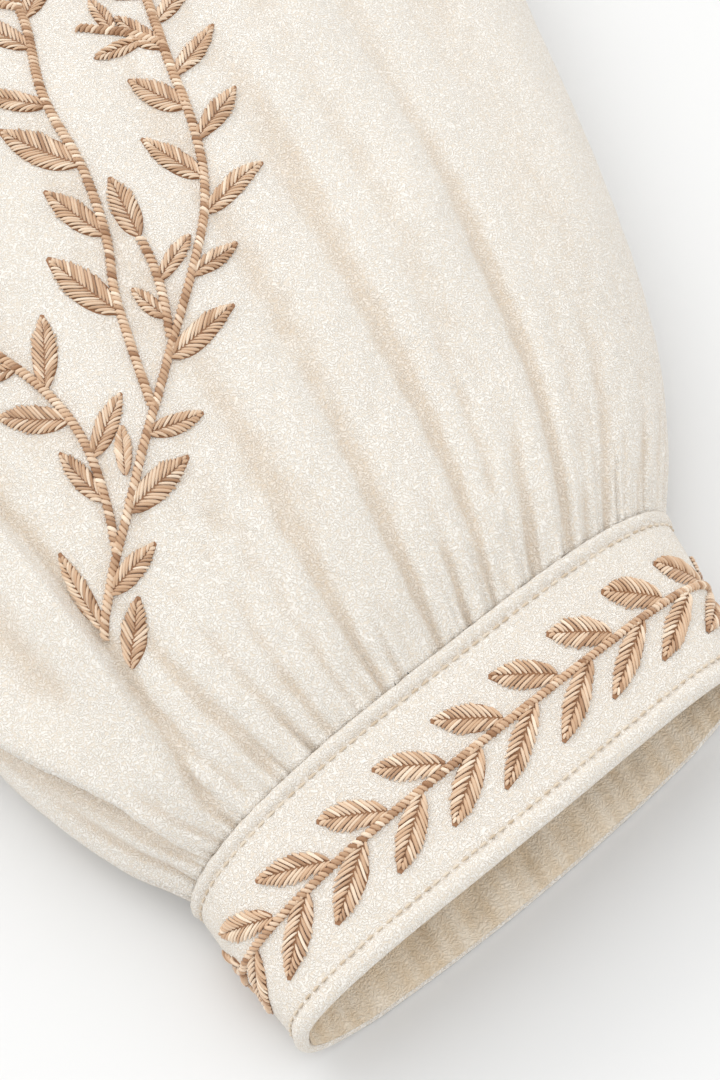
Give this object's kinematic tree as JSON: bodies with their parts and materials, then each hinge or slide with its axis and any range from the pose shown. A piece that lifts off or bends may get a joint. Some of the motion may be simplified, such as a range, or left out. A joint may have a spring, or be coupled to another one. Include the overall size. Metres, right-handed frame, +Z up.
{
  "type": "mandarin collar blouse",
  "caption": "Ivory blouse laid out flat, with a stand collar, buttoned front, and full balloon sleeves gathered into embroidered cuffs that stand open.",
  "frame": {"origin": "under the middle of the whole blouse, on the surface it lies on", "axes": "+X toward the wearer's left sleeve, +Y toward the collar, +Z up, away from the surface"},
  "size_m": [1.1572, 0.63, 0.0458],
  "materials": {
    "crepe": "ivory crepe with a fine pebbled grain",
    "facing": "soft beige brushed cloth inside the cuffs",
    "button": "ivory, shell-like"
  },
  "bodies": {
    "root": {"back": "crepe", "front_left": "crepe", "front_right": "crepe", "collar": "crepe", "sleeve_left": "crepe", "sleeve_middle_left": "crepe", "sleeve_cap_left": "crepe", "sleeve_right": "crepe", "sleeve_middle_right": "crepe", "sleeve_cap_right": "crepe", "cuff_left": "crepe", "cuff_right": "crepe", "cuff_facing_left": "facing", "cuff_facing_right": "facing", "button_1": "button", "button_2": "button", "button_3": "button", "button_4": "button", "button_5": "button", "button_6": "button", "button_7": "button"}
  },
  "joints": []
}
